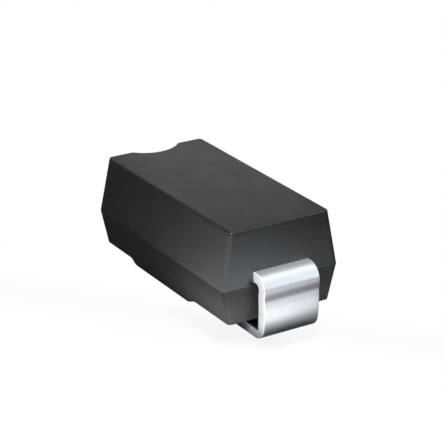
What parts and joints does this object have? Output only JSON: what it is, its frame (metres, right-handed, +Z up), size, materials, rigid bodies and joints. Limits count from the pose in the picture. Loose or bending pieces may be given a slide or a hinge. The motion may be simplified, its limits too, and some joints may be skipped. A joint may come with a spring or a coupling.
{
  "type": "surface-mount tvs diode",
  "caption": "Surface-mount transient suppressor diode: drafted black moulded body with a polarity notch and tin-plated leads folded under each end.",
  "frame": {"origin": "middle of the solder plane, which the underside of both feet lies in", "axes": "+X along the body from the notched cathode end to the anode end, +Y across the body, +Z up out of the flat top"},
  "size_m": [0.0054, 0.0024, 0.0021],
  "materials": {
    "epoxy": "fine matte moulded epoxy",
    "tin_plate": "bright tin plate on a copper strip",
    "silicon": "dark grey polished silicon",
    "solder": "dull grey solder"
  },
  "bodies": {
    "root": {"moulded_body": "epoxy", "cathode_lead": "tin_plate", "anode_lead": "tin_plate", "silicon_die": "silicon", "lower_solder_layer": "solder", "upper_solder_layer": "solder"}
  },
  "joints": []
}
